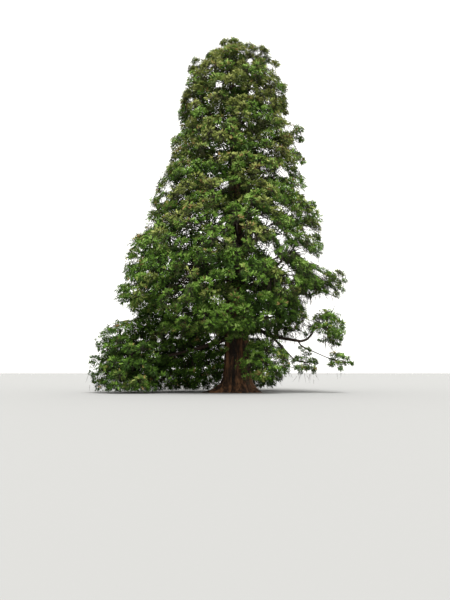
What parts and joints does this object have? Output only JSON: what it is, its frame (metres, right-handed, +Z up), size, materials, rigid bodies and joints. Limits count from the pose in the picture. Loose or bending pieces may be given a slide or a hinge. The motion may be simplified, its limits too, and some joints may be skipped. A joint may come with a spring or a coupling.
{
  "type": "giant sequoia tree",
  "caption": "Mature evergreen conifer with a tapering flared trunk, a tall rounded cone of dense foliage masses and low boughs that sweep down and turn up again",
  "frame": {"origin": "centre of the trunk's flat cut at ground level", "axes": "+Z up along the trunk, -Y towards the viewer of the picture, +X to the viewer's right"},
  "size_m": [19.0468, 14.508, 27.94],
  "materials": {
    "trunk_bark": "deeply furrowed, fibrous, red-brown",
    "bough_bark": "rough grey-brown",
    "foliage_high": "matte scale leaves, olive green with rust-brown tips",
    "foliage_low": "matte scale leaves, deeper green"
  },
  "bodies": {
    "root": {"bough_8_1": "bough_bark", "bough_8_2": "bough_bark", "bough_9_1": "bough_bark", "bough_9_2": "bough_bark", "bough_9_3": "bough_bark", "bough_9_4": "bough_bark", "bough_front_right": "bough_bark", "bough_hook_inner": "bough_bark", "bough_hook_outer": "bough_bark", "bough_hook_side": "bough_bark", "bough_skirt_back": "bough_bark", "bough_skirt_inner": "bough_bark", "bough_skirt_left": "bough_bark", "bough_straight": "bough_bark", "foliage_1_1": "foliage_high", "foliage_2_1": "foliage_high", "foliage_2_2": "foliage_high", "foliage_2_3": "foliage_high", "foliage_2_4": "foliage_high", "foliage_3_1": "foliage_high", "foliage_3_2": "foliage_high", "foliage_3_3": "foliage_high", "foliage_3_4": "foliage_high", "foliage_4_1": "foliage_high", "foliage_4_2": "foliage_high", "foliage_4_3": "foliage_high", "foliage_4_4": "foliage_high", "foliage_5_1": "foliage_low", "foliage_5_2": "foliage_low", "foliage_5_3": "foliage_low", "foliage_5_4": "foliage_low", "foliage_6_1": "foliage_low", "foliage_6_2": "foliage_low", "foliage_6_3": "foliage_low", "foliage_6_4": "foliage_low", "foliage_6_5": "foliage_low", "foliage_7_1": "foliage_low", "foliage_7_2": "foliage_low", "foliage_7_3": "foliage_low", "foliage_7_4": "foliage_low", "foliage_7_5": "foliage_low", "foliage_8_1": "foliage_low", "foliage_8_2": "foliage_low", "foliage_8_3": "foliage_low", "foliage_8_4": "foliage_low", "foliage_8_5": "foliage_low", "foliage_8_6": "foliage_low", "foliage_9_1": "foliage_low", "foliage_9_2": "foliage_low", "foliage_9_3": "foliage_low", "foliage_9_4": "foliage_low", "foliage_droop": "foliage_low", "foliage_far_right": "foliage_low", "foliage_front_right": "foliage_low", "foliage_hook": "foliage_low", "foliage_skirt_back": "foliage_low", "foliage_skirt_inner": "foliage_low", "foliage_skirt_left": "foliage_low", "trunk": "trunk_bark"}
  },
  "joints": []
}
